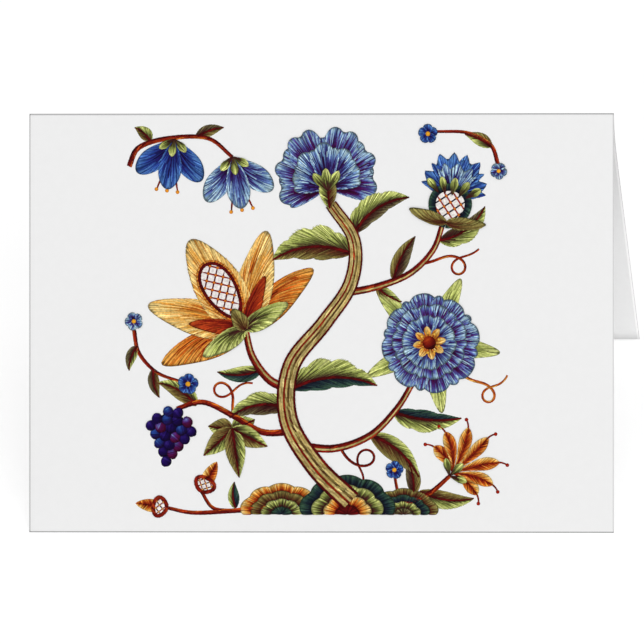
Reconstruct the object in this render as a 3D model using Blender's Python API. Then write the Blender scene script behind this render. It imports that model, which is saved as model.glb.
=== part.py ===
"""Folded greeting card, landscape format, standing as a tent on its two lower edges.

One sheet of white card, scored and folded once along its top. The front leaf is
flat and leans back. The rear leaf leaves the crease parallel to the front one and
springs away from it within a few millimetres, then runs straight down to the
table. Both lower edges are cut level, so that the card stands on two narrow flats.

Metres, +Z up, X along the crease, the printed front facing -Y. The origin is under
the middle of the card, on the surface that it stands on.
"""

import math

import bpy

# Driving dimensions
CARD_WIDTH = 0.1778  # 7 inches, along the crease
LEAF_HEIGHT = 0.127  # 5 inches, from the crease to the lower edge
SHEET = 0.001  # thickness of the sheet
CREASE_GAP = 0.0003  # between the two leaves' inner faces at the crease
LEAF_SPREAD = math.radians(59.5)  # between the leaves, once they run straight
SPRING_LENGTH = 0.0048  # how quickly the rear leaf turns away from the crease
SPRING_REACH = 0.030  # past this the rear leaf is straight

# Steps of the section
CREASE_STEPS = 14
SPRING_STEPS = 26

CREASE_INNER = CREASE_GAP / 2
CREASE_OUTER = CREASE_INNER + SHEET


def turned(s):
    """Angle between the rear leaf and the front one, at s below the crease."""
    return LEAF_SPREAD * (1 - math.exp(-s / SPRING_LENGTH))


def rear_face(length, inset):
    """The rear leaf's face, inset from its outer face, as points (down, behind).

    Down runs along the front leaf from the crease, behind runs square to it.
    """
    fine = 24
    down, behind, s = CREASE_OUTER, 2 * CREASE_OUTER, 0.0
    angle = turned(0.0)
    points = [(down + inset * math.sin(angle), behind - inset * math.cos(angle))]
    step = SPRING_REACH / (SPRING_STEPS * fine)
    for _ in range(SPRING_STEPS):
        for _ in range(fine):
            angle = turned(s + step / 2)
            down += step * math.cos(angle)
            behind += step * math.sin(angle)
            s += step
        angle = turned(s)
        points.append((down + inset * math.sin(angle), behind - inset * math.cos(angle)))
    angle = turned(SPRING_REACH)
    rest = length - SPRING_REACH
    down += rest * math.cos(angle)
    behind += rest * math.sin(angle)
    points.append((down + inset * math.sin(angle), behind - inset * math.cos(angle)))
    return points


def crease_arc(radius):
    """Half a turn over the top, from the front leaf's face to the rear leaf's."""
    return [
        (
            CREASE_OUTER - radius * math.sin(math.pi * i / CREASE_STEPS),
            CREASE_OUTER - radius * math.cos(math.pi * i / CREASE_STEPS),
        )
        for i in range(CREASE_STEPS + 1)
    ]


def section():
    """The closed outline of the folded sheet in the (y, z) plane, feet cut level."""
    length = LEAF_HEIGHT - CREASE_OUTER * math.pi / 2
    outer = rear_face(length, 0.0)
    inner = rear_face(length, SHEET)
    # The lean that brings both outer faces' lower edges to the same height
    lean = math.atan2(LEAF_HEIGHT - outer[-1][0], outer[-1][1])
    rear_lean = turned(SPRING_REACH) - lean
    # The inner faces stop a little sooner, at the level of the table
    cut = SHEET * math.tan(rear_lean)
    angle = turned(SPRING_REACH)
    inner[-1] = (
        inner[-1][0] - cut * math.cos(angle),
        inner[-1][1] - cut * math.sin(angle),
    )
    outline = [(LEAF_HEIGHT, 0.0)]
    outline += crease_arc(CREASE_OUTER)[:-1]
    outline += outer
    outline += inner[::-1]
    outline += crease_arc(CREASE_INNER)[::-1][1:]
    outline.append((LEAF_HEIGHT - SHEET * math.tan(lean), SHEET))
    top = LEAF_HEIGHT * math.cos(lean)
    placed = [
        (
            -down * math.sin(lean) + behind * math.cos(lean),
            top - down * math.cos(lean) - behind * math.sin(lean),
        )
        for down, behind in outline
    ]
    middle = (min(y for y, _ in placed) + max(y for y, _ in placed)) / 2
    return [(y - middle, max(z, 0.0)) for y, z in placed]


def clear_scene():
    for obj in list(bpy.data.objects):
        bpy.data.objects.remove(obj, do_unlink=True)


def card_stock():
    """Smooth uncoated white card."""
    material = bpy.data.materials.new("card_stock")
    material.use_nodes = True
    shader = material.node_tree.nodes["Principled BSDF"]
    shader.inputs["Base Color"].default_value = (0.85, 0.85, 0.85, 1)
    shader.inputs["Roughness"].default_value = 0.75
    shader.inputs["Metallic"].default_value = 0.0
    return material


def folded_sheet(collection):
    """The section as a flat outline, thickened along the crease to the card's width."""
    curve = bpy.data.curves.new("card_sheet", "CURVE")
    curve.dimensions = "2D"
    curve.fill_mode = "BOTH"
    curve.extrude = CARD_WIDTH / 2
    spline = curve.splines.new("POLY")
    points = section()
    spline.points.add(len(points) - 1)
    for point, (y, z) in zip(spline.points, points):
        point.co = (y, z, 0.0, 1.0)
    spline.use_cyclic_u = True
    sheet = bpy.data.objects.new("card_sheet", curve)
    # The outline's own x and y become the card's depth and height
    sheet.rotation_euler = (math.pi / 2, 0.0, math.pi / 2)
    curve.materials.append(card_stock())
    collection.objects.link(sheet)
    return sheet


def main():
    clear_scene()
    collection = bpy.data.collections.new("folded_greeting_card")
    bpy.context.scene.collection.children.link(collection)
    folded_sheet(collection)


main()
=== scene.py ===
"""Looks of the folded greeting card: card stock, printed crewel-style flowers, light and camera.

All print lies on the outer face of the front leaf. Its places are given in
millimetres on that leaf: x to the right and v up from the leaf's middle. The
print's strokes are thin crowned lenses of ink, one for each thread that the
picture shows, coloured from short colour ramps, with painted highlights and
painted shade on them. Every run gives the same result.
"""

import math

import bpy
import numpy as np
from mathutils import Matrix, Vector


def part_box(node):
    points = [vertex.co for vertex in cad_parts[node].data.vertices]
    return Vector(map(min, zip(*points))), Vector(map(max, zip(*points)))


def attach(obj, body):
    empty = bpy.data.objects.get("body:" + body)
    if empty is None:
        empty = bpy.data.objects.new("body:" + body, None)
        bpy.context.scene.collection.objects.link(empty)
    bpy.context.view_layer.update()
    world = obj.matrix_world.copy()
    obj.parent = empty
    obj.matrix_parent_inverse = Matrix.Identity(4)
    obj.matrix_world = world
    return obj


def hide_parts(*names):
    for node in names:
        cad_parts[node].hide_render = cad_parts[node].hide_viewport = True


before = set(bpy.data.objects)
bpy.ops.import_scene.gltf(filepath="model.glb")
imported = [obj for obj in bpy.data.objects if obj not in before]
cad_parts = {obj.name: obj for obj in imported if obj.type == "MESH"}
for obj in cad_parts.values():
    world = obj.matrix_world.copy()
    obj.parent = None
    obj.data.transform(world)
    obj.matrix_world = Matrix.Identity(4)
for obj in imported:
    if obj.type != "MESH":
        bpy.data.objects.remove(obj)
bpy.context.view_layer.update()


# ---------------------------------------------------------------------------
# The card's sizes, as in the CAD, in millimetres
# ---------------------------------------------------------------------------

CARD_WIDTH = 177.8
LEAF_HEIGHT = 127.0
CAD_SHEET = 1.0
CAD_CREASE_GAP = 0.3
LEAF_SPREAD = math.radians(59.5)
SPRING_LENGTH = 4.8
SPRING_REACH = 30.0

STOCK = 0.45  # real thickness of the card
CREASE_RADIUS = 0.62  # outside of the scored fold
CUT_RADIUS = 0.16  # rounding of the cut edges


def rear_end(radius, spread, length):
    """Where the rear leaf's outer face ends, (down, behind), and its angle there."""
    steps = 1500
    step = SPRING_REACH / steps
    down, behind = radius, 2 * radius
    for i in range(steps):
        angle = spread * (1 - math.exp(-(i + 0.5) * step / SPRING_LENGTH))
        down += step * math.cos(angle)
        behind += step * math.sin(angle)
    angle = spread * (1 - math.exp(-SPRING_REACH / SPRING_LENGTH))
    down += (length - SPRING_REACH) * math.cos(angle)
    behind += (length - SPRING_REACH) * math.sin(angle)
    return down, behind, angle


CAD_RADIUS = CAD_CREASE_GAP / 2 + CAD_SHEET
REAR = rear_end(CAD_RADIUS, LEAF_SPREAD, LEAF_HEIGHT - CAD_RADIUS * math.pi / 2)
LEAN = math.atan2(LEAF_HEIGHT - REAR[0], REAR[1])
FOOT_Y = float(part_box("card_sheet")[0][1]) * 1000


def in_world(down, behind, x):
    """Points of the section, (down, behind) from the crease's top, in world metres."""
    down, behind, x = np.broadcast_arrays(*(np.asarray(c, float) for c in (down, behind, x)))
    y = FOOT_Y + (LEAF_HEIGHT - down) * math.sin(LEAN) + behind * math.cos(LEAN)
    z = (LEAF_HEIGHT - down) * math.cos(LEAN) - behind * math.sin(LEAN)
    return np.stack([x, y, z], -1) * 0.001


def on_leaf(points, height):
    """Places on the front leaf, (x, v), at a height over its outer face, in world metres."""
    points = np.asarray(points, float)
    return in_world(LEAF_HEIGHT / 2 - points[..., 1], -np.asarray(height, float), points[..., 0])


# ---------------------------------------------------------------------------
# Meshes from arrays
# ---------------------------------------------------------------------------


def mesh_object(name, corners, faces, colours=None, flat_map=None):
    """corners (n, 3) in metres; faces a list of (k, sides) index arrays."""
    mesh = bpy.data.meshes.new(name)
    corners = np.asarray(corners, np.float32)
    mesh.vertices.add(len(corners))
    mesh.vertices.foreach_set("co", corners.ravel())
    loops = np.concatenate([f.ravel() for f in faces]).astype(np.int32)
    totals = np.concatenate([np.full(len(f), f.shape[1], np.int32) for f in faces])
    starts = np.concatenate([[0], np.cumsum(totals)[:-1]]).astype(np.int32)
    mesh.loops.add(len(loops))
    mesh.loops.foreach_set("vertex_index", loops)
    mesh.polygons.add(len(totals))
    mesh.polygons.foreach_set("loop_start", starts)
    mesh.polygons.foreach_set("loop_total", totals)
    mesh.polygons.foreach_set("use_smooth", np.ones(len(totals), bool))
    mesh.update(calc_edges=True)
    if colours is not None:
        ink = mesh.attributes.new("ink", "FLOAT_COLOR", "POINT")
        rgba = np.ones((len(corners), 4), np.float32)
        rgba[:, :3] = colours
        ink.data.foreach_set("color", rgba.ravel())
    if flat_map is not None:
        for map_name, places in flat_map.items():
            layer = mesh.uv_layers.new(name=map_name)
            layer.data.foreach_set(
                "uv", np.asarray(places, np.float32)[loops].ravel()
            )
    mesh.validate()
    thing = bpy.data.objects.new(name, mesh)
    bpy.context.scene.collection.objects.link(thing)
    return thing


# ---------------------------------------------------------------------------
# Colours
# ---------------------------------------------------------------------------


def linear(colour):
    c = np.asarray(colour, float) / 255
    return np.where(c <= 0.04045, c / 12.92, ((c + 0.055) / 1.055) ** 2.4)


RAMPS = {
    # name: (place, colour in 0 to 255), from the foot of a stitch row to its edge
    "blue": ((0, (44, 4, 34)), (0.34, (66, 10, 66)), (0.56, (62, 34, 104)), (0.76, (76, 92, 160)), (0.9, (118, 152, 190)), (1, (162, 192, 208))),
    "slate": ((0, (30, 6, 36)), (0.36, (44, 16, 78)), (0.6, (58, 66, 130)), (0.84, (104, 140, 180)), (1, (172, 200, 212))),
    "violet": ((0, (52, 2, 26)), (0.5, (80, 10, 66)), (0.76, (76, 52, 132)), (1, (120, 146, 190))),
    "royal": ((0, (24, 4, 40)), (0.4, (26, 20, 84)), (0.74, (34, 62, 136)), (1, (82, 126, 186))),
    "navy": ((0, (16, 2, 40)), (0.6, (26, 6, 78)), (1, (60, 42, 130))),
    "lime": ((0, (62, 16, 20)), (0.26, (58, 40, 28)), (0.5, (92, 98, 48)), (0.76, (160, 170, 86)), (1, (208, 212, 132))),
    "olive": ((0, (66, 18, 14)), (0.45, (88, 66, 32)), (1, (146, 138, 76))),
    "shade": ((0, (50, 12, 16)), (0.5, (62, 44, 30)), (1, (118, 112, 76))),
    "bottle": ((0, (14, 12, 30)), (0.5, (24, 40, 46)), (1, (62, 92, 70))),
    "gold": ((0, (118, 20, 6)), (0.26, (168, 74, 18)), (0.56, (206, 136, 48)), (0.84, (226, 180, 96)), (1, (236, 206, 134))),
    "amber": ((0, (86, 6, 6)), (0.4, (142, 38, 10)), (0.76, (196, 104, 28)), (1, (220, 156, 70))),
    "rust": ((0, (66, 2, 6)), (0.5, (122, 22, 10)), (1, (172, 66, 24))),
    "cream": ((0, (150, 124, 66)), (1, (204, 188, 128))),
    "maroon": ((0, (54, 2, 6)), (1, (104, 12, 12))),
}


def ramp(name):
    stops = RAMPS[name]
    places = [p for p, _ in stops]
    colours = np.array([c for _, c in stops], float)

    def at(t):
        t = np.clip(t, 0, 1)
        mixed = np.stack([np.interp(t, places, colours[:, k]) for k in range(3)], -1)
        return linear(mixed)

    return at


# ---------------------------------------------------------------------------
# Print: strokes, flat grounds and knots
# ---------------------------------------------------------------------------

BODY = (0.0, 0.16, 0.5, 0.84, 1.0)  # stations along a stroke
UNDER = 0.004  # height of the flat grounds over the card, mm


class Print:
    """Collects the ink of one piece, lowest first."""

    def __init__(self, name, slot="card"):
        self.name = name
        self.slot = slot
        self.corners, self.colours, self.faces, self.count = [], [], [], 0
        self.strokes = 0

    def add(self, points, heights, colours, faces):
        self.corners.append(on_leaf(points, heights))
        self.colours.append(colours)
        self.faces += [f + self.count for f in faces]
        self.count += len(points)

    def lay(self, lines, width, colours, level, crown=0.035, side=0.6, painted_highlight=1.16):
        """lines (n, 5, 2), width (n,), colours (n, 5, 3), level (n,)."""
        n = len(lines)
        if not n:
            return
        width = np.broadcast_to(width, (n,))
        level = np.broadcast_to(level, (n,))
        crown = np.broadcast_to(crown, (n,))
        ahead = np.gradient(lines, axis=1)
        ahead /= np.maximum(np.linalg.norm(ahead, axis=-1, keepdims=True), 1e-9)
        left = np.stack([-ahead[..., 1], ahead[..., 0]], -1)
        places = np.empty((n, 11, 2))
        heights = np.empty((n, 11))
        colours_with_painted_light = np.empty((n, 11, 3))
        places[:, 0], places[:, 10] = lines[:, 0], lines[:, 4]
        heights[:, 0] = heights[:, 10] = level
        # Painted light on each stroke: its tips and sides are darkened (painted shade) and its middle line is lightened
        # (painted highlight), like sheen on a thread.
        colours_with_painted_light[:, 0], colours_with_painted_light[:, 10] = colours[:, 0] * side, colours[:, 4] * side
        for k, swell in ((1, 0.86), (2, 1.0), (3, 0.86)):
            first = 3 * k - 2
            half = (width * swell / 2)[:, None]
            places[:, first] = lines[:, k] + left[:, k] * half
            places[:, first + 1] = lines[:, k]
            places[:, first + 2] = lines[:, k] - left[:, k] * half
            heights[:, first] = heights[:, first + 2] = level
            heights[:, first + 1] = level + crown * swell
            colours_with_painted_light[:, first] = colours_with_painted_light[:, first + 2] = colours[:, k] * side
            colours_with_painted_light[:, first + 1] = colours[:, k] * painted_highlight
        start = (np.arange(n) * 11)[:, None]
        thirds = np.array([(0, 3, 2), (0, 2, 1), (9, 10, 8), (8, 10, 7)])
        fours = np.array(
            [(3, 6, 5, 2), (2, 5, 4, 1), (6, 9, 8, 5), (5, 8, 7, 4)]
        )
        self.add(
            places.reshape(-1, 2),
            heights.ravel(),
            colours_with_painted_light.reshape(-1, 3),
            [
                (start[:, None] + thirds[None]).reshape(-1, 3),
                (start[:, None] + fours[None]).reshape(-1, 4),
            ],
        )
        self.strokes += n

    def ground(self, grid, colours, height=UNDER):
        """A flat patch of ink from a grid of places (rows, columns, 2)."""
        rows, cols = grid.shape[:2]
        index = np.arange(rows * cols).reshape(rows, cols)
        quads = np.stack(
            [index[:-1, :-1], index[1:, :-1], index[1:, 1:], index[:-1, 1:]], -1
        ).reshape(-1, 4)
        flat = grid.reshape(-1, 2)
        a, b, c = (flat[quads[:, k]] for k in range(3))
        turn = np.sum((b - a)[:, 0] * (c - a)[:, 1] - (b - a)[:, 1] * (c - a)[:, 0])
        if turn < 0:
            quads = quads[:, ::-1]
        self.add(flat, np.full(len(flat), height), colours.reshape(-1, 3), [quads])

    def plate(self, outline, colour, height):
        """A flat star-shaped patch inside an outline (n, 2)."""
        n = len(outline)
        x, y = outline[:, 0], outline[:, 1]
        if np.sum(x * np.roll(y, -1) - y * np.roll(x, -1)) < 0:
            outline = outline[::-1]
        points = np.vstack([outline.mean(0), outline])
        ring = np.arange(n)
        faces = np.stack([np.zeros(n, int), ring + 1, (ring + 1) % n + 1], -1)
        self.add(points, np.full(n + 1, height), np.tile(linear(colour), (n + 1, 1)), [faces])

    def knots(self, centres, radius, colours, level, crown=0.16):
        """Small domes, one for each place."""
        centres = np.atleast_2d(centres)
        n, sides = len(centres), 8
        radius = np.broadcast_to(radius, (n,))
        colours = np.broadcast_to(colours, (n, 3))
        around = np.arange(sides) * 2 * math.pi / sides
        ring = np.stack([np.cos(around), np.sin(around)], -1)
        places = np.concatenate(
            [
                centres[:, None],
                centres[:, None] + ring * radius[:, None, None] * 0.62,
                centres[:, None] + ring * radius[:, None, None],
            ],
            1,
        )
        heights = np.full((n, 1 + 2 * sides), level, float)
        heights[:, 0] += crown
        heights[:, 1 : 1 + sides] += crown * 0.72
        colours_with_painted_light = np.repeat(colours[:, None], 1 + 2 * sides, 1).copy()
        # Painted highlight on each knot's top and painted shade round its rim.
        colours_with_painted_light[:, 0] *= 1.25
        colours_with_painted_light[:, 1 + sides :] *= 0.55
        start = (np.arange(n) * (1 + 2 * sides))[:, None]
        k = np.arange(sides)
        after = (k + 1) % sides
        inner = np.stack([np.zeros(sides, int), 1 + k, 1 + after], -1)
        outer = np.stack([1 + k, 1 + sides + k, 1 + sides + after, 1 + after], -1)
        self.add(
            places.reshape(-1, 2),
            heights.ravel(),
            colours_with_painted_light.reshape(-1, 3),
            [
                (start[:, None] + inner[None]).reshape(-1, 3),
                (start[:, None] + outer[None]).reshape(-1, 4),
            ],
        )

    def build(self, material):
        corners = np.concatenate(self.corners)
        colours = np.concatenate(self.colours)
        low, high = corners.min(0), corners.max(0)
        places = ((corners - low) / (high - low))[:, [0, 2]]
        # Faces keep the order in which the ink was laid, so the highest come last
        thing = mesh_object(self.name, corners, self.faces, colours, {"OFBake": places})
        thing.data.materials.append(material)
        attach(thing, "root")
        return thing


# ---------------------------------------------------------------------------
# Lines and patches
# ---------------------------------------------------------------------------


class Path:
    """A smooth line on the leaf, read by its share of length from 0 to 1."""

    def __init__(self, points):
        points = np.asarray(points, float)
        steps = np.linalg.norm(np.diff(points, axis=0), axis=1)
        points = points[np.concatenate([[True], steps > 1e-6])]
        steps = np.linalg.norm(np.diff(points, axis=0), axis=1)
        run = np.concatenate([[0], np.cumsum(steps)])
        self.length = run[-1]
        n = max(24, int(self.length / 0.25))
        even = np.linspace(0, self.length, n)
        self.t = even / self.length
        self.p = np.stack([np.interp(even, run, points[:, k]) for k in range(2)], -1)
        ahead = np.gradient(self.p, axis=0)
        ahead /= np.linalg.norm(ahead, axis=1, keepdims=True)
        self.n = np.stack([-ahead[:, 1], ahead[:, 0]], -1)

    def at(self, t, off=0.0):
        t = np.clip(t, 0, 1)
        place = np.stack([np.interp(t, self.t, self.p[:, k]) for k in range(2)], -1)
        side = np.stack([np.interp(t, self.t, self.n[:, k]) for k in range(2)], -1)
        return place + side * np.asarray(off, float)[..., None]

    def heading(self, t):
        n = self.at(t, 1.0) - self.at(t)
        return math.degrees(math.atan2(-n[..., 0], n[..., 1]))


def through(*knots):
    """A smooth line through a few places."""
    k = np.asarray(knots, float)
    k = np.vstack([2 * k[0] - k[1], k, 2 * k[-1] - k[-2]])
    dense = []
    for a, b, c, d in zip(k[:-3], k[1:-2], k[2:-1], k[3:]):
        t = np.linspace(0, 1, 24, endpoint=False)[:, None]
        dense.append(
            0.5
            * (
                2 * b
                + (c - a) * t
                + (2 * a - 5 * b + 4 * c - d) * t**2
                + (3 * b - a - 3 * c + d) * t**3
            )
        )
    return Path(np.vstack(dense + [k[-2:-1]]))


def curl(start, heading, *runs):
    """A line that turns as it goes: each run is (length in mm, turn in degrees)."""
    step = 0.2
    bends = np.concatenate([np.full(max(1, int(l / step)), math.radians(turn) / max(1, int(l / step))) for l, turn in runs])
    reach = max(3, len(bends) // 14)
    soft = np.convolve(np.pad(bends, reach, mode="edge"), np.ones(2 * reach + 1) / (2 * reach + 1), "valid")
    angle = math.radians(heading) + np.concatenate([[0], np.cumsum(soft)])[:-1]
    moves = np.stack([np.cos(angle), np.sin(angle)], -1) * step
    return Path(np.vstack([start, np.asarray(start, float) + np.cumsum(moves, 0)]))


def fill(ink, place, colour, level, seed, rows=(0, 1), width=0.46, pitch=0.33, overlap=0.10,
         streak=0.16, noise=0.24, ground=0.4, shade=None, gap=0.05, crown=0.03, edge=0.03, halo=0.965, covered=0.0):
    """Covers the patch place(a, t) with rows of stitches that run along t.

    Rows that end before the share covered lie under other stitches and are left out."""
    rng = np.random.default_rng(seed)
    tint = ramp(colour)
    value = shade or (lambda a, t: t)
    if ground:
        edge_line = place(np.linspace(0, 1, 60), np.full(60, 0.9))
        size = np.linalg.norm(np.diff(edge_line, axis=0), axis=1).sum()
        fine = int(np.clip(size / 0.55, 10, 44))
        a, t = np.meshgrid(np.linspace(0.0, 1.0, fine), np.linspace(0, halo, max(5, fine // 4)), indexing="ij")
        # Painted shade between the stitches: the flat ground under them is a darker copy of their colours, darker still
        # along the outline.
        underlay_painted_shade = np.where(t > 0.97, 0.45 * ground, ground)[..., None]
        ink.ground(place(a, t), tint(value(a, t)) * underlay_painted_shade, UNDER + level)
    rows = list(rows)
    last = len(rows) - 2
    for i in reversed(range(len(rows) - 1)):
        t0, t1 = rows[i], rows[i + 1]
        if t1 <= covered:
            continue
        across = np.linspace(0, 1, 90)
        line = place(across, np.full(90, (t0 + t1) / 2))
        run = np.concatenate([[0], np.cumsum(np.linalg.norm(np.diff(line, axis=0), axis=1))])
        n = max(2, int(run[-1] / pitch))
        share = (np.arange(n) + 0.5 + rng.uniform(-0.28, 0.28, n)) / n
        a = np.interp(share * run[-1], run, across)
        start = t0 - (overlap * rng.uniform(0.2, 1.5, n) if i else 0 * a)
        if i == last:
            stop = t1 + edge * (0.35 - rng.uniform(0, 1.2, n) ** 2)
        else:
            stop = t1 + overlap * rng.uniform(0.2, 1.5, n)
        start, stop = np.clip(start, 0, 1), np.clip(stop, 0, 1.03)
        body = np.array(BODY)
        t = start[:, None] + (stop - start)[:, None] * body
        aa = np.repeat(a[:, None], 5, 1)
        lines = place(aa, t)
        v = value(aa, t) + rng.normal(0, streak, n)[:, None]
        gain = np.exp(rng.normal(0, noise, n))
        gain = np.where(rng.random(n) < gap, gain * 0.5, gain)
        ink.lay(
            lines,
            width * rng.uniform(0.85, 1.15, n),
            tint(v) * gain[:, None, None],
            level + (last - i) * 0.004 + 2 * UNDER + rng.uniform(0, 0.004, n),
            crown,
        )


def local(base, heading):
    c, s = math.cos(math.radians(heading)), math.sin(math.radians(heading))

    def to(along, across):
        return np.stack([base[0] + along * c - across * s, base[1] + along * s + across * c], -1)

    return to


def petal(ink, base, heading, length, width, colour, level, seed, bend=0.0, notch=0.0, point=0.0,
          teeth=0, tooth=0.08, scallops=0, scallop=0.07, flare=0.0, open_=0.94, start=0.05, each=3.4, **more):
    """A petal whose stitches fan out from its base to its outline."""

    def outline(a):
        f = (a - 0.5) * math.pi * open_
        along = np.cos(f) ** 2
        across = np.cos(f) * np.sin(f) * (1 + flare * (2 * along - 1))
        reach = 1 - notch * np.exp(-((f / 0.22) ** 2)) + point * np.exp(-((f / 0.3) ** 2))
        if teeth:
            saw = (a * teeth) % 1
            reach = reach * (1 - tooth * 2 * np.abs(saw - 0.5))
        if scallops:
            reach = reach * (1 - scallop + scallop * np.abs(np.sin(math.pi * scallops * a)) ** 0.6)
        return along * reach, across * reach

    def place(a, t):
        along, across = outline(a)
        r = start + (1 - start) * t
        turn = math.radians(bend) * r
        al, ac = along * r * length, across * r * width
        c, s = np.cos(turn), np.sin(turn)
        return local(base, heading)(al * c - ac * s, al * s + ac * c)

    count = max(2, round(length / each))
    more.setdefault("halo", 1 + 0.12 / length)
    fill(ink, place, colour, level, seed, rows=np.linspace(0, 1, count + 1) ** 0.9, **more)
    return place


def beyond(hidden):
    """Runs the colours over the part of a petal that the ring in front leaves bare."""
    return lambda a, t: np.clip((t - hidden) / (1 - hidden), 0, 1)


def leaf(ink, path, left, right, colours, level, seed, slant=2.6, lobes=0, depth=0.3, peak=0.42,
         full=0.85, vein="maroon", vein_width=0.5, saw=False, **more):
    """Stitches run from the vein, path, out and forward to the edge on both sides."""
    power = math.log(0.5) / math.log(peak)
    for side, reach, colour in ((1, left, colours[0]), (-1, right, colours[1])):
        if not reach:
            continue

        def edge_at(b, reach=reach):
            w = np.sin(math.pi * np.clip(b, 0, 0.9999) ** power) ** full
            if lobes:
                phase = b * lobes
                if saw:
                    wave = phase % 1
                else:
                    wave = np.abs(np.sin(math.pi * phase)) ** 0.55
                w = w * (1 - depth + depth * wave)
            return reach * w

        def place(b, t, side=side, edge_at=edge_at):
            w = edge_at(b)
            root = path.at(b - slant * w / reach_max / path.length)
            tip = path.at(b, side * w)
            return root + (tip - root) * t[..., None]

        reach_max = 1.0
        count = 1 if reach < 2.6 else 2 if reach < 5.2 else 3
        fill(ink, place, colour, level, seed + side, rows=np.linspace(0, 1, count + 1), **more)
    if vein:
        stem(ink, path, vein_width, vein_width * 0.5, [vein], level + 0.05, seed + 7)


def stem(ink, path, w0, w1, rows, level, seed, stitch=3.2, twist=0.5, tone=0.5, spread=0.18):
    """Rows of stem stitch along a line; rows names the ramps from left to right."""
    rng = np.random.default_rng(seed)
    n = len(rows)
    for j, colour in enumerate(rows):
        tint = ramp(colour)
        side = 0.5 - (j + 0.5) / n
        count = max(2, int(path.length / (stitch * 0.45)))
        start = (np.arange(count) - 0.6 + rng.uniform(-0.1, 0.1, count)) / count
        t = start[:, None] + np.array(BODY) * stitch / path.length
        wide = w0 + (w1 - w0) * np.clip(t, 0, 1)
        row = wide / n
        off = side * wide + twist * row * (np.array(BODY) - 0.5)
        value = tone + rng.normal(0, spread, count)[:, None] + np.zeros(5)
        colours = tint(value) * np.exp(rng.normal(0, 0.22, count))[:, None, None]
        ink.lay(
            path.at(t, off),
            row.mean(1) * 1.3,
            colours,
            level + 0.005 * (n / 2 - abs(j - (n - 1) / 2)) + 0.003 * (np.arange(count) % 2) + 2 * UNDER,
            0.04,
        )


def lattice(ink, outline, angle, pitch, threads, tie, level, width=0.42, ground=(236, 230, 226)):
    """Two sets of laid threads over a pale ground, tied down with small crosses."""
    ink.plate(outline, ground, level + UNDER)
    turns = (math.radians(angle), math.radians(angle + 90))
    for turn, colour in zip(turns, threads):
        c, s = math.cos(turn), math.sin(turn)
        u = outline @ np.array([c, s])
        w = outline @ np.array([-s, c])
        lines = []
        for level_w in np.arange(math.ceil(w.min() / pitch), w.max() / pitch) * pitch:
            u0, w0, u1, w1 = u, w, np.roll(u, -1), np.roll(w, -1)
            cut = (w0 - level_w) * (w1 - level_w) < 0
            hits = np.sort((u0 + (u1 - u0) * (level_w - w0) / (w1 - w0 + 1e-12))[cut])
            for a, b in zip(hits[::2], hits[1::2]):
                ends = a + (b - a) * np.array(BODY)
                lines.append(np.stack([ends * c - level_w * s, ends * s + level_w * c], -1))
        if lines:
            lines = np.array(lines)
            ink.lay(lines, width, np.tile(linear(colour), (len(lines), 5, 1)), level + 3 * UNDER, 0.03)
    c, s = math.cos(turns[0]), math.sin(turns[0])
    u = outline @ np.array([c, s])
    w = outline @ np.array([-s, c])
    gu, gw = np.meshgrid(
        np.arange(math.ceil(u.min() / pitch), u.max() / pitch) * pitch,
        np.arange(math.ceil(w.min() / pitch), w.max() / pitch) * pitch,
    )
    spots = np.stack([gu.ravel() * c - gw.ravel() * s, gu.ravel() * s + gw.ravel() * c], -1)
    spots = spots[inside(spots, outline)]
    arm = pitch * 0.24
    for turn in (turns[0] + math.pi / 4, turns[0] + 3 * math.pi / 4):
        way = np.array([math.cos(turn), math.sin(turn)]) * arm
        ends = spots[:, None] + way * (2 * np.array(BODY) - 1)[:, None]
        ink.lay(ends, width * 0.9, np.tile(linear(tie), (len(spots), 5, 1)), level + 0.045, 0.03)


def inside(points, outline):
    x, y = points[:, :1], points[:, 1:]
    x0, y0 = outline[:, 0], outline[:, 1]
    x1, y1 = np.roll(x0, -1), np.roll(y0, -1)
    cross = (y0 > y) != (y1 > y)
    at = (x1 - x0) * (y - y0) / (y1 - y0 + 1e-12) + x0
    return (np.sum(cross & (x < at), 1) % 2).astype(bool)


def disc(ink, centre, radius, angle, colour, level, seed, light=(-0.35, 0.4), **more):
    """A satin-stitched disc with a painted highlight: lighter towards one side, as if lit from there."""
    to = local(centre, angle)

    def place(a, t):
        y = (2 * a - 1) * 0.985
        half = np.sqrt(np.maximum(1 - y * y, 0))
        return to((2 * t - 1) * half * radius, y * radius)

    # Painted highlight: brightest at the light place, fading with distance from it.
    def shade(a, t):
        p = (place(a, t) - np.asarray(centre)) / radius
        return 1 - np.hypot(p[..., 0] - light[0], p[..., 1] - light[1]) / 1.45

    fill(ink, place, colour, level, seed, rows=(0, 0.5, 1) if radius > 3.2 else (0, 1), shade=shade,
         pitch=0.3, streak=0.06, noise=0.1, **more)


def border(ink, path, width, colour, level, seed, slant=0.4, **more):
    """A band of slanting stitches along a line, as round a padded edge."""

    def place(a, t):
        return path.at(a + (t - 0.5) * slant / path.length, (t - 0.5) * width)

    fill(ink, place, colour, level, seed, rows=(0, 1), **more)


def drop(ink, base, heading, length, width, colour, level, seed, **more):
    """A small satin teardrop, pointed at its base."""
    to = local(base, heading)

    def place(a, t):
        half = np.sin(math.pi * np.clip(t, 0, 0.999) ** 1.5) ** 0.8 * width / 2
        return to(t * length, (2 * a - 1) * half)

    fill(ink, place, colour, level, seed, rows=(0, 0.55, 1), pitch=0.26, width=0.4, overlap=0.16, **more)


# ---------------------------------------------------------------------------
# Motifs
# ---------------------------------------------------------------------------

LAYER = 0.045  # what one covering patch of stitches adds in height, mm


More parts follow.
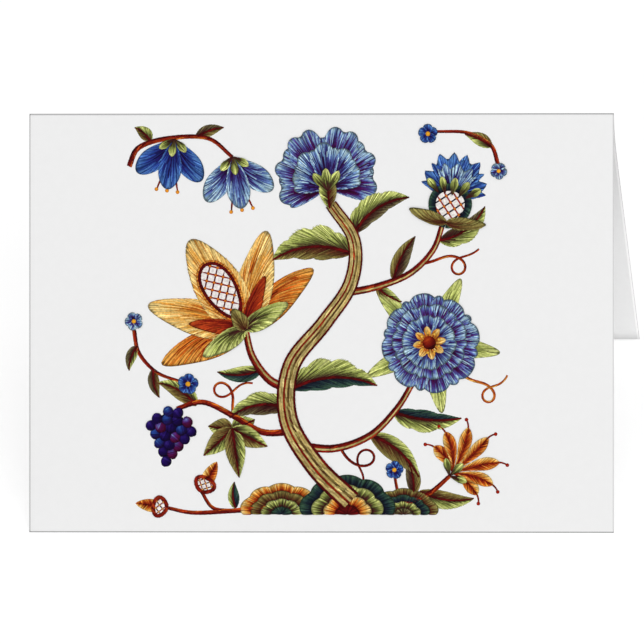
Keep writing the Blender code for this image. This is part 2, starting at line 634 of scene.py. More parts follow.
def rosette(ink, centre, radius, heading, seed):
    """A many-petalled rose: notched petals, an inner ring, sepals and a knotted eye."""
    to = local(centre, heading)
    for k in range(5):
        petal(ink, centre, heading + 36 + 72 * k, radius * 1.12, radius * 0.4, "lime", 0.0, seed + k, point=0.2)
    rings = (
        # petals, reach, breadth, colour, first layer, share hidden, share left out
        (8, 1.0, 0.74, "blue", 2.5, 0.5, 0.6),
        (7, 0.76, 0.62, "blue", 6.0, 0.44, 0.5),
        (5, 0.54, 0.54, "slate", 9.0, 0.2, 0.3),
    )
    for number, (count, reach, breadth, colour, first, hidden, covered) in enumerate(rings):
        order = sorted(range(count), key=lambda step: (step * 2) % count)
        for k, step in enumerate(order):
            turn = heading + (step + 0.5 * (number % 2)) * 360 / count
            vary = 1 + 0.035 * math.sin(2.6 * k + number)
            petal(ink, centre, turn, radius * reach * vary, radius * breadth, colour, LAYER * (first + 3.4 * k / count),
                  seed + 20 * number + k, notch=0.06, flare=0.55, open_=0.8, scallops=5, scallop=0.13,
                  shade=beyond(hidden), streak=0.2, covered=covered)
    for k in range(8):
        drop(ink, centre, heading + 45 * k, radius * 0.32, radius * 0.14, "gold", LAYER * 12.5, seed + 80 + k)
    disc(ink, centre, radius * 0.13, 30, "rust", LAYER * 13.5, seed + 90)
    around = np.arange(9) * 2 * math.pi / 9
    ring = to(radius * 0.19 * np.cos(around), radius * 0.19 * np.sin(around))
    ink.knots(ring, 0.42, linear((228, 176, 70)), LAYER * 14)


def pink(ink, base, heading, size, seed):
    """A carnation seen from the side, its petals cut to scalloped edges."""
    back = ((-74, 0.82), (74, 0.82), (-46, 0.94), (46, 0.94), (-20, 1.02), (20, 1.02))
    for k, (turn, reach) in enumerate(back):
        petal(ink, base, heading + turn, size * reach, size * 0.56, "blue", LAYER * k * 0.8, seed + k,
              scallops=6, scallop=0.12, flare=0.7, open_=0.8, bend=turn * 0.14,
              shade=beyond(0.42), streak=0.2, covered=0.3)
    front = ((-58, 0.6), (58, 0.6), (-30, 0.7), (30, 0.7), (0, 0.74))
    for k, (turn, reach) in enumerate(front):
        petal(ink, base, heading + turn, size * reach, size * 0.42, "slate", LAYER * (5 + k * 0.8), seed + 10 + k,
              scallops=5, scallop=0.12, flare=0.7, open_=0.8, bend=turn * 0.1, each=3.0,
              shade=beyond(0.16), streak=0.2)
    foot = local(base, heading)
    tube = through(foot(-size * 0.34, 0), foot(-size * 0.14, 0), foot(size * 0.16, 0))
    leaf(ink, tube, size * 0.15, size * 0.15, ("lime", "olive"), LAYER * 9.5, seed + 20, peak=0.6, slant=1.0, full=0.6)
    for k, turn in enumerate((-34, 34, 0)):
        drop(ink, foot(-size * 0.06, 0), heading + turn, size * 0.38, size * 0.15, "lime", LAYER * (10.5 + k), seed + 30 + k)


def tulip(ink, base, heading, size, seed):
    """A tulip with curling outer petals and a latticed middle one."""
    for side in (-1, 1):
        petal(ink, base, heading + side * 46, size * 0.8, size * 0.34, "amber", 0.0, seed + 3 * side, bend=side * 34,
              point=0.3, open_=0.96, streak=0.25, noise=0.25)
        petal(ink, base, heading + side * 28, size * 0.96, size * 0.42, "gold", LAYER, seed + 3 * side + 1,
              bend=side * 16, point=0.2, open_=0.96, streak=0.25, noise=0.25)
    petal(ink, base, heading, size * 1.04, size * 0.56, "gold", LAYER * 2, seed + 9, point=0.16, streak=0.25, noise=0.25)
    to = local(base, heading)
    turn = np.linspace(0, 2 * math.pi, 72, endpoint=False)
    panel = to(size * (0.52 - 0.35 * np.cos(turn)), size * 0.175 * np.sin(turn) * (1 - 0.2 * np.cos(turn)))
    rim = Path(np.vstack([panel, panel[:1]]))
    border(ink, rim, size * 0.09, "amber", LAYER * 3.4, seed + 11)
    lattice(ink, panel, heading + 45, 2.3, ((132, 10, 10), (92, 6, 20)), (206, 110, 30), LAYER * 4.2, width=0.5)
    stem(ink, rim, 0.7, 0.7, ["maroon"], LAYER * 5.4, seed + 12, stitch=2.4)
    for side in (-1, 1):
        petal(ink, base, heading + side * 30, size * 0.5, size * 0.17, "rust", LAYER * 6, seed + 20 + side,
              bend=side * 22, point=0.3, streak=0.2)
    for side in (-1, 1):
        petal(ink, base, heading + side * 60, size * 0.44, size * 0.22, "lime", LAYER * 7, seed + 14 + side,
              bend=side * 30, point=0.3)
    petal(ink, base, heading, size * 0.22, size * 0.18, "olive", LAYER * 8, seed + 17, point=0.25)


def thistle(ink, base, heading, size, seed):
    """A scaled bulb under a spray of bristles."""
    to = local(base, heading)
    crown = to(size * 0.36, 0)
    for k, (turn, reach) in enumerate(((-46, 0.5), (46, 0.5), (-18, 0.6), (18, 0.6))):
        petal(ink, crown, heading + turn, size * reach, size * 0.36, "royal", LAYER * k, seed + k, teeth=8,
              tooth=0.2, flare=0.9, open_=0.8, streak=0.25, noise=0.3)
    petal(ink, crown, heading, size * 0.46, size * 0.42, "slate", LAYER * 4, seed + 5, teeth=9, tooth=0.22, flare=0.9,
          open_=0.8, streak=0.2, noise=0.3)
    turn = np.linspace(0, 2 * math.pi, 60, endpoint=False)
    bulb = to(size * (0.24 - 0.25 * np.cos(turn)), size * 0.24 * np.sin(turn) * (1 - 0.12 * np.cos(turn)))
    lattice(ink, bulb, heading + 45, 2.3, ((150, 16, 14), (30, 14, 40)), (200, 110, 40), LAYER * 5.2, width=0.5)
    border(ink, Path(np.vstack([bulb, bulb[:1]])), size * 0.1, "bottle", LAYER * 6.6, seed + 8)
    for k in range(5):
        drop(ink, to(size * 0.38, size * 0.09 * (k - 2)), heading + 24 * (k - 2), size * 0.24, size * 0.1, "lime",
             LAYER * (7.6 + 0.3 * k), seed + 12 + k)
    for k in (-1, 1):
        petal(ink, to(size * 0.02, 0), heading + k * 112, size * 0.4, size * 0.16, "olive", LAYER * 7.5, seed + 20 + k,
              point=0.3, bend=-k * 30)


def bell(ink, base, heading, size, seed, colour="royal"):
    """A hanging bell of pointed petals, with a small cap and knotted stamens."""
    to = local(base, heading)
    for k in (-1, 0, 1):
        line = through(to(size * 0.3, 0), to(size * 0.7, k * size * 0.12), to(size * 1.14, k * size * 0.24))
        stem(ink, line, 0.5, 0.4, ["rust"], 0.0, seed + k)
        ink.knots(to(size * 1.17, k * size * 0.25), 0.62, linear((220, 140, 40)), UNDER)
    for k, turn in enumerate((-22, 22, 0)):
        petal(ink, base, heading + turn, size, size * 0.48, colour, LAYER * (1 + k), seed + 4 + k, bend=turn * 0.9,
              point=0.13, flare=0.5, open_=0.94)
    for k, turn in enumerate((-50, 50, 0)):
        drop(ink, to(-size * 0.05, 0), heading + turn, size * 0.42, size * 0.18, "lime", LAYER * (4 + k * 0.7), seed + 10 + k)


def honeysuckle(ink, base, heading, size, seed):
    """A spray of curved trumpets with long stamens."""
    rays = ((-80, 0.66, -40), (80, 0.66, 40), (-52, 0.84, -34), (52, 0.84, 34), (-24, 0.96, -20), (24, 0.96, 20), (0, 1.0, 6))
    for k, (turn, reach, bend) in enumerate(rays):
        line = curl(base, heading + turn * 0.8, (size * reach, bend))
        hair = curl(line.at(np.array([0.96]))[0], line.heading(0.99), (size * 0.2, 40 if turn > 0 else -40))
        stem(ink, hair, 0.45, 0.35, ["rust"], 0.0, seed + 5 * k + 1, stitch=1.6)
        ink.knots(hair.at(np.array([1.0])), 0.6, linear((150, 30, 12)), UNDER)
        leaf(ink, line, size * 0.13, size * 0.13, ("gold", "amber"), LAYER * (1 + 0.5 * k), seed + 5 * k, peak=0.72,
             slant=1.6, vein="rust", vein_width=0.4, full=0.7)
    for k, turn in enumerate((-60, 60, 0)):
        drop(ink, local(base, heading)(-size * 0.08, 0), heading + turn, size * 0.36, size * 0.14, "lime",
             LAYER * (6 + k * 0.5), seed + 40 + k)


def grapes(ink, top, heading, size, seed):
    """Berries in shortening rows."""
    rng = np.random.default_rng(seed)
    to = local(top, heading)
    rows = ((0, 2), (1, 4), (2, 5), (3, 4), (4, 3), (5, 2), (6, 1))
    gap = size / 6.4
    sides = [[to(row * gap * 0.88, side * (count - 1) / 2 * gap * 1.08) for row, count in rows] for side in (-1, 1)]
    ink.plate(np.array(sides[0] + sides[1][::-1]), linear((22, 8, 34)), UNDER)
    number = 0
    for row, count in reversed(rows):
        for k in range(count):
            spot = to(row * gap * 0.88, (k - (count - 1) / 2) * gap * 1.08) + rng.uniform(-0.2, 0.2, 2)
            colour = ("navy", "royal", "navy", "violet")[(number * 3 + row) % 4]
            disc(ink, spot, gap * 0.6, rng.uniform(0, 180), colour, LAYER * (0.7 * (6 - row) + 0.3 * (k % 2)),
                 seed + number)
            number += 1


def acorn(ink, base, heading, size, seed):
    """A nut in a latticed cup."""
    to = local(base, heading)
    line = through(to(size * 0.25, 0), to(size * 0.7, 0), to(size * 1.12, 0))
    leaf(ink, line, size * 0.24, size * 0.24, ("gold", "amber"), 0.0, seed, peak=0.36, slant=0.7, vein=None, full=0.6,
         pitch=0.28)
    turn = np.linspace(0, 2 * math.pi, 48, endpoint=False)
    cup = to(size * (0.24 - 0.24 * np.cos(turn)), size * 0.33 * np.sin(turn) * (1 - 0.25 * np.cos(turn)))
    lattice(ink, cup, heading + 45, 1.45, ((140, 14, 10), (80, 8, 20)), (214, 150, 60), LAYER * 1.6, width=0.38)
    stem(ink, Path(np.vstack([cup, cup[:1]])), 0.9, 0.9, ["rust"], LAYER * 2.6, seed + 5, stitch=2)


def forget(ink, centre, radius, heading, seed, colour="royal"):
    """A small flower of round petals with a knot."""
    for k in range(5):
        petal(ink, centre, heading + 72 * k, radius, radius * 0.92, colour, LAYER * (3 + 0.6 * k), seed + k, flare=0.3,
              each=2.2)
    ink.knots(np.asarray(centre), radius * 0.26, linear((228, 160, 40)), LAYER * 6.4)


def vine_leaf(ink, base, heading, size, colours, seed, level=0.0):
    """Pointed lobes from one foot."""
    lobes = ((-98, 0.5), (98, 0.5), (-52, 0.8), (52, 0.8), (0, 1.0))
    for k, (turn, reach) in enumerate(lobes):
        line = curl(base, heading + turn, (size * reach, turn * 0.12))
        leaf(ink, line, size * 0.21, size * 0.21, colours, level + LAYER * 0.8 * k, seed + 9 * k, peak=0.4, slant=2.2,
             vein_width=0.6)


def mound(ink, centre, width, height, bands, level, seed, scallops=0):
    """A hillock of banded stitches, flat underneath."""
    n = len(bands)
    for k, colour in enumerate(bands):
        t0, t1 = k / n, (k + 1) / n

        def place(a, t, t0=t0, t1=t1):
            f = math.pi * (1 - a)
            r = t0 + (t1 - t0) * t
            reach = 1 - (0.09 - 0.09 * np.abs(np.sin(math.pi * scallops * a)) ** 0.6 if scallops else 0)
            return np.stack(
                [centre[0] + np.cos(f) * r * reach * width / 2, centre[1] + np.sin(f) * r * reach * height], -1
            )

        fill(ink, place, colour, level + 0.004 * (n - k), seed + k, rows=(0, 1), edge=0.08, halo=1.02)


# ---------------------------------------------------------------------------
# Layout of the printed picture
# ---------------------------------------------------------------------------

TRUNK = ["maroon", "cream", "cream", "rust", "cream", "olive", "cream", "cream", "maroon"]
BRANCH = ["maroon", "rust", "cream", "rust"]
TWIG = ["maroon", "rust", "amber"]
VINE = ["rust", "amber"]

BRANCHES = (
    # name, knots, width at both ends, rows, level in layers
    ("rose", ((-8, -37), (4, -38), (15, -34), (23, -26), (28, -18)), 2.4, 1.6, BRANCH, 1.5),
    ("tulip", ((-10, -20), (-16, -17), (-21, -10), (-23, -2)), 2.6, 1.8, BRANCH, 1.5),
    ("thistle", ((7, 9), (17, 11), (27, 15), (34, 22), (37, 30)), 2.2, 1.5, BRANCH, 1.5),
    ("grapes", ((-9, -33), (-18, -33), (-27, -28), (-36, -24), (-44, -26)), 1.9, 1.3, TWIG, 1.5),
    ("bells", ((-58.5, 47.5), (-55.5, 53.2), (-46.5, 56), (-34.5, 56), (-27, 50.3)), 1.5, 1.0, TWIG, 1.0),
    ("trumpets", ((19, -57), (26, -54.5), (33, -51.5), (39.5, -46)), 1.7, 1.1, TWIG, 1.0),
    ("acorns", ((-16, -56), (-28, -57), (-39, -57.5), (-47, -56)), 1.5, 1.0, TWIG, 0.0),
    ("acorn", ((-27, -57), (-33, -56), (-36.5, -51)), 1.1, 0.9, TWIG, 0.0),
    ("corner", ((53.8, 48), (51.5, 54), (44.5, 57.6), (35, 58)), 1.2, 0.8, TWIG, 0.0),
    ("side", ((-57, -2), (-55.5, -9), (-50, -15), (-42, -18)), 1.2, 0.8, TWIG, 0.0),
    ("bud", ((26, -55), (23.5, -51.5), (22.3, -46)), 1.0, 0.8, TWIG, 0.0),
)

LEAVES = (
    # foot, heading, length, turn, left, right, colours left and right, lobes, depth, layer
    ((9, 21), 156, 25, 58, 4.2, 6.8, ("olive", "lime"), 4, 0.26, 0.0),
    ((10, 27), 62, 21, -58, 5.2, 2.8, ("lime", "shade"), 3, 0.22, 0.0),
    ((-9, -20), 28, 27, -52, 6.4, 3.6, ("lime", "bottle"), 4, 0.26, 0.0),
    ((-10, -26), 158, 19, 62, 3.2, 4.2, ("shade", "lime"), 3, 0.2, 1.0),
    ((15, -34), -18, 20, -46, 3.0, 3.8, ("lime", "olive"), 0, 0.0, 0.0),
    ((22, -27), -20, 21, 30, 3.0, 4.2, ("bottle", "lime"), 3, 0.22, 0.0),
    ((36, 25), 8, 18, 58, 2.8, 3.8, ("shade", "lime"), 3, 0.2, 0.0),
    ((22, 13), 78, 15, -30, 2.4, 2.8, ("olive", "shade"), 0, 0.0, 0.0),
    ((17, 11), -48, 9, 34, 2.0, 2.2, ("lime", "olive"), 0, 0.0, 0.0),
    ((-38, -25), 128, 14, 44, 2.6, 3.0, ("olive", "lime"), 0, 0.0, 0.0),
    ((-52, 55.2), 120, 6.5, 40, 1.8, 2.2, ("olive", "lime"), 0, 0.0, 0.0),
    ((-38, 56.3), 34, 9, -30, 2.0, 1.8, ("shade", "olive"), 0, 0.0, 0.0),
    ((28, -52), 82, 12, 40, 2.2, 2.4, ("shade", "olive"), 0, 0.0, 0.0),
    ((30, -51), -28, 17, 42, 2.6, 3.0, ("olive", "lime"), 0, 0.0, 0.0),
    ((-26, -56), 112, 8, -40, 1.6, 2.0, ("lime", "bottle"), 0, 0.0, 0.0),
    ((51.8, 53.3), 140, 9, 30, 2.0, 2.2, ("lime", "olive"), 0, 0.0, 0.0),
    ((-18, -14), 206, 14, -46, 2.4, 2.6, ("bottle", "lime"), 0, 0.0, 0.0),
    ((-56, -7), 232, 8, 40, 1.6, 1.8, ("lime", "shade"), 0, 0.0, 0.0),
    ((-51, -14), 262, 9, 40, 1.8, 1.8, ("olive", "shade"), 0, 0.0, 0.0),
)

TENDRILS = (
    # start, heading, runs of (length, turn), colours
    ((31, 18), 10, ((6, 16), (7, -70), (5, -130), (4, -120), (4, -60), (6, 36)), VINE),
    ((6, -38), -64, ((5, 24), (6, 60), (5, 130), (5, 110), (4, 50), (4, -50)), ["maroon", "rust"]),
    ((-25, -30), 140, ((6, -66), (7, 70), (5, 140), (4, 100), (4, 30), (6, -70)), VINE),
    ((43.5, -16), -36, ((5, 30), (6, -60), (4, -130), (4, -120), (3, -40), (6, 64)), ["amber", "gold"]),
)

SPRAYS = (
    # centre, radius, heading, colour
    ((32.5, 57.3), 2.9, 20, "royal"),
    ((54, 46), 2.5, 60, "slate"),
    ((-40.5, -18.5), 3.1, 10, "royal"),
    ((-57, 0.5), 2.7, 40, "slate"),
    ((22.3, -44.5), 2.7, 10, "royal"),
)


def layout():
    stems, greens, blooms = Print("print_stems"), Print("print_leaves"), Print("print_flowers")
    blues, fruits = Print("print_blue_flowers"), Print("print_fruits")

    for number, (start, heading, runs, rows) in enumerate(TENDRILS):
        stem(greens, curl(start, heading, *runs), 0.8, 0.55, rows, 0.0, 800 + number, stitch=2.4)

    for number, (foot, heading, length, turn, left, right, colours, lobes, depth, layer) in enumerate(LEAVES):
        leaf(greens, curl(foot, heading, (length, turn)), left, right, colours, LAYER * layer, 100 + 9 * number,
             lobes=lobes, depth=depth, vein_width=0.8 if length > 18 else 0.55, streak=0.15)
    vine_leaf(greens, (-27, -32), -82, 15, ("lime", "olive"), 340)

    for k, (x, wide, tall, bands) in enumerate((
        (-12, 26, 9.5, ("bottle", "lime", "olive", "gold")),
        (25, 22, 8.0, ("shade", "lime", "bottle", "olive")),
        (8, 30, 12.0, ("maroon", "gold", "lime", "bottle")),
    )):
        mound(greens, (x, -58), wide, tall, bands, LAYER * (0.5 + k), 300 + 10 * k, scallops=5)

    for number, (name, knots, w0, w1, rows, layer) in enumerate(BRANCHES):
        stem(stems, through(*knots), w0, w1, rows, LAYER * layer, 20 + number)
    trunk = through((9, -54), (-2, -43), (-10, -29), (-9, -13), (1, 0), (9, 12), (10, 25), (3, 36))
    stem(stems, trunk, 6.6, 3.6, TRUNK, LAYER * 3.5, 1)

    for number, (centre, radius, heading, colour) in enumerate(SPRAYS):
        forget(blooms, centre, radius, heading, 700 + 10 * number, colour)
    rosette(blues, (33, -6), 16.0, 100, 400)
    pink(blues, (2, 41), 96, 18.5, 430)
    tulip(blooms, (-23, -2), 122, 26.5, 460)
    thistle(blooms, (38, 30), 78, 23, 490)
    bell(blooms, (-44.8, 55.2), -98, 13.0, 520)
    bell(blooms, (-26.8, 49.8), -80, 13.5, 540, "slate")
    honeysuckle(fruits, (40, -45.5), 42, 15.5, 560)
    grapes(fruits, (-45, -27), -98, 18, 600)
    acorn(fruits, (-36.5, -51), 62, 9.0, 650)
    acorn(fruits, (-47, -56), 172, 8.5, 660)
    return stems, greens, blooms, blues, fruits


# ---------------------------------------------------------------------------
# Materials
# ---------------------------------------------------------------------------


def principled(name, roughness, specular=0.5):
    material = bpy.data.materials.new(name)
    material.use_nodes = True
    shader = material.node_tree.nodes["Principled BSDF"]
    shader.inputs["Roughness"].default_value = roughness
    shader.inputs["Specular IOR Level"].default_value = specular
    return material, material.node_tree.nodes, material.node_tree.links, shader


def ink_material():
    """Printer's ink: each stroke's own colour, a little uneven."""
    material, nodes, links, shader = principled("ink", 0.7, 0.05)
    colour = nodes.new("ShaderNodeAttribute")
    colour.attribute_name = "ink"
    where = nodes.new("ShaderNodeTexCoord")
    grain = nodes.new("ShaderNodeTexNoise")
    grain.inputs["Scale"].default_value = 1500
    grain.inputs["Detail"].default_value = 3
    links.new(where.outputs["Object"], grain.inputs["Vector"])
    spread = nodes.new("ShaderNodeMapRange")
    spread.inputs["From Min"].default_value = 0.3
    spread.inputs["From Max"].default_value = 0.7
    spread.inputs["To Min"].default_value = 0.72
    spread.inputs["To Max"].default_value = 1.16
    links.new(grain.outputs["Fac"], spread.inputs["Value"])
    mixed = nodes.new("ShaderNodeVectorMath")
    mixed.operation = "SCALE"
    links.new(colour.outputs["Color"], mixed.inputs[0])
    links.new(spread.outputs["Result"], mixed.inputs["Scale"])
    links.new(mixed.outputs["Vector"], shader.inputs["Base Color"])
    return material


WHITE = 0.84  # the stock's colour


def stock_material():
    """Uncoated card: faint mottling and fibre, with painted shade: darker lines along the cut edges and the crease, a
    painted highlight beside the inner face's side edges, and painted shade on the inner face towards the crease.
    """
    material, nodes, links, shader = principled("card_stock", 0.8, 0.3)

    def math_node(operation, a, b=None, c=None):
        node = nodes.new("ShaderNodeMath")
        node.operation = operation
        for socket, value in zip(node.inputs, (a, b, c)):
            if value is None:
                continue
            if isinstance(value, (int, float)):
                socket.default_value = value
            else:
                links.new(value, socket)
        return node.outputs[0]

    def near(distance, full, gone):
        """1 closer than full mm, 0 past gone mm."""
        node = nodes.new("ShaderNodeMapRange")
        node.interpolation_type = "SMOOTHSTEP"
        node.inputs["From Min"].default_value = full
        node.inputs["From Max"].default_value = gone
        node.inputs["To Min"].default_value = 1.0
        node.inputs["To Max"].default_value = 0.0
        links.new(distance, node.inputs["Value"])
        return node.outputs["Result"]

    spot = nodes.new("ShaderNodeAttribute")
    spot.attribute_name = "spot"
    parts = nodes.new("ShaderNodeSeparateXYZ")
    links.new(spot.outputs["Vector"], parts.inputs[0])
    x, s, depth = parts.outputs
    # Distances in millimetres from the cut edges and the crease
    to_left = math_node("MULTIPLY_ADD", x, CARD_WIDTH / 2, CARD_WIDTH / 2)
    to_right = math_node("MULTIPLY_ADD", x, -CARD_WIDTH / 2, CARD_WIDTH / 2)
    to_feet = math_node("MINIMUM", math_node("MULTIPLY", s, RUN), math_node("MULTIPLY_ADD", s, -RUN, RUN))
    to_crease = math_node("ABSOLUTE", math_node("MULTIPLY_ADD", s, RUN, -CREASE_RUN))
    inner = math_node("GREATER_THAN", depth, 0.5)
    outer = math_node("SUBTRACT", 1.0, inner)

    # Painted light: each row darkens its face near a cut edge or the crease by its share (painted shade lines, weaker
    # on the right edge, where light from the right falls); negative shares lighten the inner face beside its side edges
    # (painted highlight); the last row is painted shade on the inner face, growing towards the crease.
    tone = None
    for distance, full, gone, painted_shade_share, face in (
        (to_left, 0.2, 0.42, 0.52, outer),
        (to_right, 0.2, 0.42, 0.24, outer),
        (to_feet, 0.22, 0.46, 0.6, outer),
        (to_crease, 0.5, 1.0, 0.42, outer),
        (to_left, 0.5, 0.8, -0.16, inner),
        (to_right, 0.5, 0.8, -0.16, inner),
        (to_left, 0.04, 0.18, 0.45, inner),
        (to_right, 0.04, 0.18, 0.45, inner),
        (to_feet, 0.16, 0.36, 0.14, inner),
        (to_crease, 4.0, 78.0, 0.2, inner),
    ):
        painted_light_mask = math_node("MULTIPLY", near(distance, full, gone), face)
        keep = math_node("MULTIPLY_ADD", painted_light_mask, -painted_shade_share, 1.0)
        tone = keep if tone is None else math_node("MULTIPLY", tone, keep)

    where = nodes.new("ShaderNodeTexCoord")
    mottle = nodes.new("ShaderNodeTexNoise")
    mottle.inputs["Scale"].default_value = 420
    mottle.inputs["Detail"].default_value = 3
    links.new(where.outputs["Object"], mottle.inputs["Vector"])
    cloud = math_node("MULTIPLY_ADD", mottle.outputs["Fac"], 0.03, 1 - 0.015)
    tone = math_node("MULTIPLY", tone, cloud)
    grey = math_node("MULTIPLY", tone, WHITE)
    colour = nodes.new("ShaderNodeCombineXYZ")
    for socket in colour.inputs:
        links.new(grey, socket)
    links.new(colour.outputs[0], shader.inputs["Base Color"])

    fibre = nodes.new("ShaderNodeTexNoise")
    fibre.inputs["Scale"].default_value = 2600
    fibre.inputs["Detail"].default_value = 4
    links.new(where.outputs["Object"], fibre.inputs["Vector"])
    bump = nodes.new("ShaderNodeBump")
    bump.inputs["Strength"].default_value = 0.12
    bump.inputs["Distance"].default_value = 0.00006
    links.new(fibre.outputs["Fac"], bump.inputs["Height"])
    links.new(bump.outputs["Normal"], shader.inputs["Normal"])
    return material


# ---------------------------------------------------------------------------
# The sheet of card
# ---------------------------------------------------------------------------


RUN = 1.0  # the sheet's length from foot to foot, set by card()
CREASE_RUN = 1.0  # and from the front foot to the middle of the crease


def rear_fit():
    """Spread and length that bring the finer crease's rear leaf to the CAD's foot."""
    spread, length = LEAF_SPREAD, LEAF_HEIGHT - CREASE_RADIUS * math.pi / 2
    for _ in range(30):
        d, b, _ = rear_end(CREASE_RADIUS, spread, length)
        miss = np.array([REAR[0] - d, REAR[1] - b])
        if np.abs(miss).max() < 1e-7:
            break
        ds, bs, _ = rear_end(CREASE_RADIUS, spread + 1e-5, length)
        dl, bl, _ = rear_end(CREASE_RADIUS, spread, length + 1e-3)
        grid = np.array([[(ds - d) / 1e-5, (dl - d) / 1e-3], [(bs - b) / 1e-5, (bl - b) / 1e-3]])
        change = np.linalg.solve(grid, miss)
        spread, length = spread + change[0], length + change[1]
    return spread, length


def card():
    """The folded sheet: a rounded strip section swept from foot to foot."""
    global RUN, CREASE_RUN
    spread, length = rear_fit()
    path, turns = [], []
    for down in np.concatenate([[LEAF_HEIGHT], np.linspace(LEAF_HEIGHT - 0.2, 2, 26), [1.4, 0.9]]):
        path.append((down, 0.0))
        turns.append(0.0)
    steps = 18
    for i in range(steps + 1):
        f = math.pi * i / steps
        path.append((CREASE_RADIUS * (1 - math.sin(f)), CREASE_RADIUS * (1 - math.cos(f))))
        turns.append(f)
    fine, coarse = 20, 40
    down, behind, s = CREASE_RADIUS, 2 * CREASE_RADIUS, 0.0
    step = SPRING_REACH / (fine * coarse)
    for _ in range(coarse):
        for _ in range(fine):
            angle = spread * (1 - math.exp(-(s + step / 2) / SPRING_LENGTH))
            down += step * math.cos(angle)
            behind += step * math.sin(angle)
            s += step
        angle = spread * (1 - math.exp(-s / SPRING_LENGTH))
        path.append((down, behind))
        turns.append(math.pi - angle)
    rest = length - SPRING_REACH
    for share in np.concatenate([np.linspace(0, 1 - 0.2 / rest, 16)[1:], [1.0]]):
        path.append((down + rest * share * math.cos(angle), behind + rest * share * math.sin(angle)))
        turns.append(math.pi - angle)
    path, turns = np.array(path), np.array(turns)
    # Inward from the outer face: the sheet's thickness
    inward = np.stack([np.sin(turns), np.cos(turns)], -1)

    half = CARD_WIDTH / 2
    r = CUT_RADIUS
    arcs = np.radians(np.linspace(0, 90, 4))
    outer_x = np.concatenate([[-half + r], np.linspace(-half + 2, half - 2, 31), [half - r]])
    loop = [(x, 0.0) for x in outer_x]
    loop += [(half - r + r * math.sin(a), r - r * math.cos(a)) for a in arcs[1:]]
    loop += [(half - r + r * math.cos(a), STOCK - r + r * math.sin(a)) for a in arcs]
    loop += [(x, STOCK) for x in outer_x[::-1][1:-1]]
    loop += [(-half + r - r * math.sin(a), STOCK - r + r * math.cos(a)) for a in arcs]
    loop += [(-half + r - r * math.cos(a), r - r * math.sin(a)) for a in arcs[:-1]]
    loop = np.array(loop)

    n, m = len(path), len(loop)
    down = path[:, None, 0] + inward[:, None, 0] * loop[None, :, 1]
    behind = path[:, None, 1] + inward[:, None, 1] * loop[None, :, 1]
    # Both ends are cut level with the surface
    rear_lean = (math.pi - turns[-1]) - LEAN
    down[0] -= loop[:, 1] * math.tan(LEAN)
    slip = loop[:, 1] * math.tan(rear_lean)
    down[-1] -= slip * math.cos(math.pi - turns[-1])
    behind[-1] -= slip * math.sin(math.pi - turns[-1])
    corners = in_world(down, behind, np.broadcast_to(loop[None, :, 0], (n, m)))
    corners[..., 2] = np.maximum(corners[..., 2], 0)
    corners = corners.reshape(-1, 3)

    index = np.arange(n * m).reshape(n, m)
    quads = np.stack([index[:-1], np.roll(index, -1, 1)[:-1], np.roll(index, -1, 1)[1:], index[1:]], -1).reshape(-1, 4)
    quads = quads[:, ::-1]
    run = np.concatenate([[0], np.cumsum(np.linalg.norm(np.diff(path, axis=0), axis=1))])
    RUN = float(run[-1])
    CREASE_RUN = LEAF_HEIGHT - CREASE_RADIUS + CREASE_RADIUS * math.pi / 2
    thing = mesh_object("card_sheet_finished", corners, [quads, index[0][None, :], index[-1][None, ::-1]])
    spot = thing.data.attributes.new("spot", "FLOAT_VECTOR", "POINT")
    values = np.empty((n, m, 3), np.float32)
    values[..., 0] = loop[None, :, 0] / half
    values[..., 1] = run[:, None] / run[-1]
    values[..., 2] = loop[None, :, 1] / STOCK
    spot.data.foreach_set("vector", values.ravel())
    return thing


def build():
    sheet = card()
    sheet.data.materials.append(stock_material())
    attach(sheet, "root")
    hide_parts("card_sheet")
    ink = ink_material()
    prints = [p.build(ink) for p in layout()]


# ---------------------------------------------------------------------------
# Floor, light and camera
# ---------------------------------------------------------------------------


def lamp(name, towards, distance, size, strength):
    """A round soft lamp; strength is the light it gives a white face square to it."""
    way = np.array(towards, float)
    way /= np.linalg.norm(way)
    light = bpy.data.lights.new(name, "AREA")
    light.shape = "DISK"
    light.size = size
    light.energy = strength * math.pi * math.pi * distance**2
    holder = bpy.data.objects.new(name, light)
    holder.location = way * distance
    holder.rotation_euler = (math.acos(way[2]), 0, math.atan2(way[1], way[0]) + math.pi / 2)
    holder.visible_camera = False
    bpy.context.scene.collection.objects.link(holder)


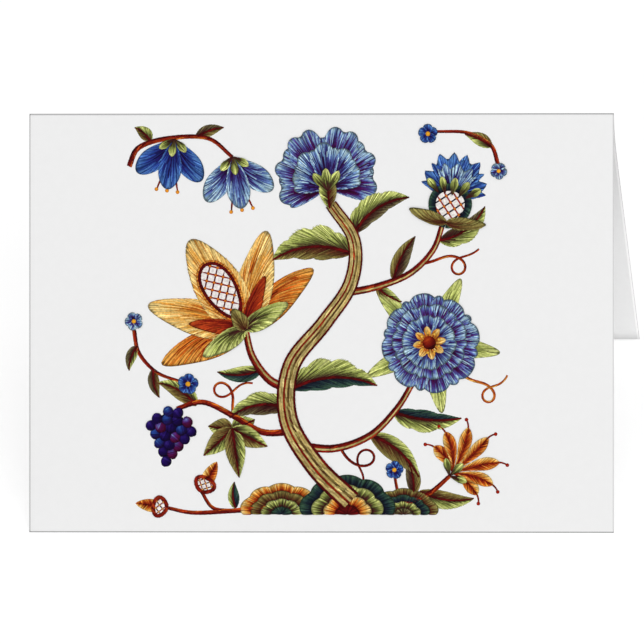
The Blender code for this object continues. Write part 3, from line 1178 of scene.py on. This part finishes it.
def surroundings():
    bpy.ops.mesh.primitive_plane_add(size=16, location=(0, 0, 0))
    floor = bpy.context.object
    floor.name = "floor"
    material, nodes, links, shader = principled("floor", 0.9, 0.0)
    shader.inputs["Base Color"].default_value = (0.96, 0.96, 0.96, 1)
    # A white sweep lit from below, as on a light table
    shader.inputs["Emission Color"].default_value = (1, 1, 1, 1)
    shader.inputs["Emission Strength"].default_value = 0.32
    floor.data.materials.append(material)

    world = bpy.data.worlds.new("soft")
    bpy.context.scene.world = world
    world.use_nodes = True
    sky = world.node_tree.nodes["Background"]
    sky.inputs["Color"].default_value = (1, 1, 1, 1)
    sky.inputs["Strength"].default_value = 0.66

    lamp("front", (0.2, -0.86, 0.48), 2.5, 1.8, 0.28)


def camera():
    """Square to the front leaf and a little from the right, from far away."""
    from mathutils import Matrix, Vector

    lens, sensor, frame_width = 1000.0, 36.0, 644
    pixels_per_mm = 3.29
    off_square = math.radians(5.247)
    reach = lens / sensor * frame_width / pixels_per_mm * 0.9968 * 0.001
    out = Vector((0, -math.cos(LEAN), math.sin(LEAN)))
    across = Vector((1, 0, 0))
    back = across * math.sin(off_square) + out * math.cos(off_square)
    right = across * math.cos(off_square) - out * math.sin(off_square)
    up = Vector((0, math.sin(LEAN), math.cos(LEAN)))
    middle = Vector(in_world(LEAF_HEIGHT / 2, 0, 0))
    aim = middle + right * (0.9 / pixels_per_mm * 0.001) + up * (1.0 / pixels_per_mm * 0.001)
    eye = bpy.data.cameras.new("camera")
    eye.lens = lens
    eye.sensor_width = sensor
    eye.clip_start = 0.1
    eye.clip_end = 50
    holder = bpy.data.objects.new("camera", eye)
    place = aim + back * reach
    holder.matrix_world = Matrix(
        (
            (right.x, up.x, back.x, place.x),
            (right.y, up.y, back.y, place.y),
            (right.z, up.z, back.z, place.z),
            (0, 0, 0, 1),
        )
    )
    bpy.context.scene.collection.objects.link(holder)
    bpy.context.scene.camera = holder


build()
surroundings()
camera()
bpy.context.scene.view_settings.view_transform = "Standard"
